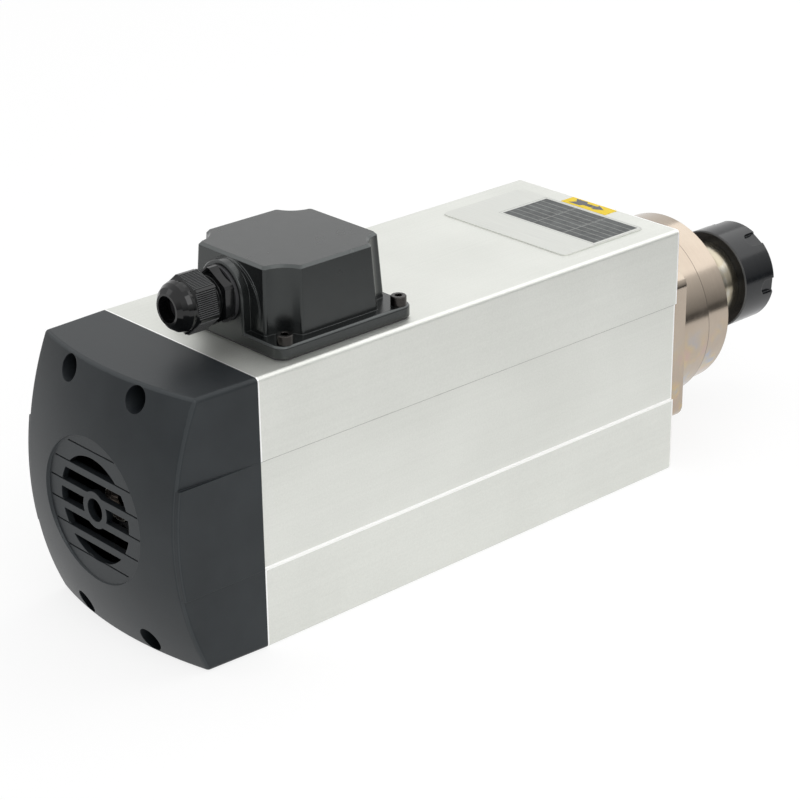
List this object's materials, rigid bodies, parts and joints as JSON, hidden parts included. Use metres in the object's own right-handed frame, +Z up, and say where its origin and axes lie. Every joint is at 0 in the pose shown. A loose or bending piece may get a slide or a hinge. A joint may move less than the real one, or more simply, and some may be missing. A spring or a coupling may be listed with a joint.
{
  "type": "motor spindle",
  "caption": "Air-cooled square-bodied motor spindle with a terminal box and cable gland on top, a louvred rear cover and a collet nose with a slotted nut.",
  "frame": {"origin": "middle of the bottom face of the body extrusion, the face that is bolted down", "axes": "+X across the body, +Y along the spindle towards the collet nose, +Z up through the terminal box"},
  "size_m": [0.103, 0.3991, 0.1546],
  "materials": {
    "body_aluminium": "bead-blasted and clear anodised extrusion",
    "cover_plastic": "satin moulded cover",
    "box_plastic": "satin moulded box",
    "gland_plastic": "glossy moulded cable gland",
    "fan_plastic": "moulded fan",
    "rubber": "moulded seal",
    "nickel_steel": "turned steel, nickel plated",
    "ground_steel": "ground",
    "dark_steel": "black oxide",
    "screw_steel": "black socket screws",
    "bearing_steel": "polished",
    "spring_steel": "rolled strip",
    "cast_aluminium": "die cast",
    "lamination_steel": "stacked sheets",
    "winding_copper": "varnished wire",
    "block_plastic": "moulded terminal block",
    "brass": "turned",
    "lead_covering": "silicone covering of the leads",
    "plate_metal": "brushed sheet",
    "label_film": "printed film"
  },
  "bodies": {
    "motor": {"housing": "body_aluminium", "rear_cover": "cover_plastic", "rear_cover_screws": "screw_steel", "rear_bracket": "cast_aluminium", "rear_bearing_outer_ring": "bearing_steel", "preload_spring": "spring_steel", "stator_core": "lamination_steel", "stator_winding": "winding_copper", "front_flange": "nickel_steel", "front_flange_screws": "screw_steel", "front_cap": "nickel_steel", "front_cap_screws": "screw_steel", "front_bearing_outer_rings": "bearing_steel", "terminal_box": "box_plastic", "terminal_box_gasket": "rubber", "terminal_box_screws": "screw_steel", "terminal_block": "block_plastic", "terminal_screws": "brass", "earth_screw": "brass", "motor_leads": "lead_covering", "lead_grommet": "rubber", "gland_body": "gland_plastic", "gland_washer": "rubber", "gland_locknut": "gland_plastic", "nameplate": "plate_metal", "arrow_label": "label_film"},
    "spindle": {"spindle_shaft": "ground_steel", "rotor_core": "lamination_steel", "rotor_cage": "cast_aluminium", "fan": "fan_plastic", "fan_circlip": "spring_steel", "front_bearing_inner_rings": "bearing_steel", "front_bearing_balls": "bearing_steel", "rear_bearing_inner_ring": "bearing_steel", "rear_bearing_balls": "bearing_steel", "bearing_locknut": "dark_steel"},
    "collet": {"collet": "ground_steel"},
    "collet_nut": {"collet_nut": "dark_steel"},
    "gland_seal": {"gland_seal": "rubber"},
    "gland_dome_nut": {"gland_dome_nut": "gland_plastic"}
  },
  "joints": [
    {"name": "spindle_spin", "type": "hinge", "parent": "motor", "child": "spindle", "pos_m": [0, 0, 0.06], "axis": [0, 1, 0], "continuous": true},
    {"name": "collet_draw", "type": "slide", "parent": "spindle", "child": "collet", "axis": [0, 1, 0], "range_m": [0, 0.012]},
    {"name": "collet_nut_turn", "type": "hinge", "parent": "collet", "child": "collet_nut", "pos_m": [0, 0.2, 0.06], "axis": [0, 1, 0], "range_deg": [0, 2880]},
    {"name": "gland_seal_slide", "type": "slide", "parent": "motor", "child": "gland_seal", "axis": [0, -1, 0], "range_m": [0, 0.006]},
    {"name": "gland_nut_turn", "type": "hinge", "parent": "gland_seal", "child": "gland_dome_nut", "pos_m": [0.009, -0.12345, 0.1396], "axis": [0, -1, 0], "range_deg": [0, 1440]}
  ],
  "couplings": [
    {"joint": "collet_draw", "follows": "collet_nut_turn", "m_per_rad": 0.00023873},
    {"joint": "gland_seal_slide", "follows": "gland_nut_turn", "m_per_rad": 0.00023873}
  ]
}
